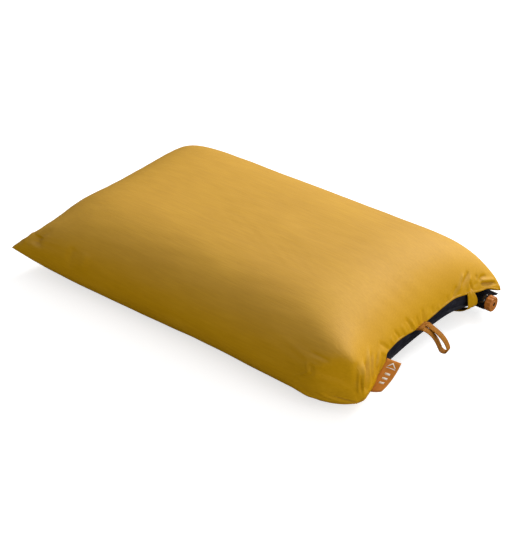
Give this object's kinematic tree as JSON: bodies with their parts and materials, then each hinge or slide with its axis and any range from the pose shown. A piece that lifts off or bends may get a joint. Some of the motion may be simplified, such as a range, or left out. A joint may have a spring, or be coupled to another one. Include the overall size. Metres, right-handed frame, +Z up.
{
  "type": "self-inflating camp pillow",
  "caption": "Soft rectangular camp pillow: foam-filled air bladder in a slip-on fabric cover, with a twist valve, a pull loop and a sewn label at its open end.",
  "frame": {"origin": "on the floor plane under the middle of the pillow", "axes": "+X along the length towards the open end, +Y across the width towards the valve's corner, +Z up out of the floor"},
  "size_m": [0.6057, 0.3412, 0.124],
  "materials": {
    "knit": "matt slub knit",
    "hem": "matt, folded and stitched",
    "elastic": "ribbed elastic tape",
    "bladder": "coated, slightly satin",
    "foam": "open-cell foam",
    "valve_plastic": "glossy",
    "seal": "matt",
    "knob_plastic": "satin",
    "webbing": "woven tape",
    "label": "woven label"
  },
  "bodies": {
    "pillow": {"cover_top_panel": "knit", "cover_bottom_panel": "knit", "mouth_hem_upper": "hem", "mouth_hem_lower": "hem", "mouth_elastic_upper": "elastic", "mouth_elastic_lower": "elastic", "mouth_bridge_strap": "hem", "bladder_top_sheet": "bladder", "bladder_bottom_sheet": "bladder", "foam_core": "foam", "valve_weld_base": "valve_plastic", "valve_body": "valve_plastic", "valve_plug": "valve_plastic", "plug_o_ring": "seal"},
    "valve_slider": {"knob_o_ring": "seal"},
    "valve_knob": {"valve_knob": "knob_plastic"},
    "pull_loop": {"pull_loop": "webbing"},
    "side_label": {"side_label": "label"}
  },
  "joints": [
    {"name": "valve_lift", "type": "slide", "parent": "pillow", "child": "valve_slider", "axis": [1, 0, 0], "range_m": [0, 0.005]},
    {"name": "valve_twist", "type": "hinge", "parent": "valve_slider", "child": "valve_knob", "pos_m": [0.2625, 0.143, 0.0215], "axis": [1, 0, 0], "range_deg": [0, 450]},
    {"name": "loop_swing", "type": "hinge", "parent": "pillow", "child": "pull_loop", "pos_m": [0.2665, 0.01, 0.0475], "axis": [-0.2079, 0.9781, 0], "range_deg": [-80, 12]},
    {"name": "label_flap", "type": "hinge", "parent": "pillow", "child": "side_label", "pos_m": [0.2746, -0.10275, 0.0375], "axis": [-0.0632, 0.7333, 0.6769], "range_deg": [-35, 35]}
  ],
  "couplings": [
    {"joint": "valve_twist", "follows": "valve_lift", "rad_per_m": 1570.8}
  ]
}
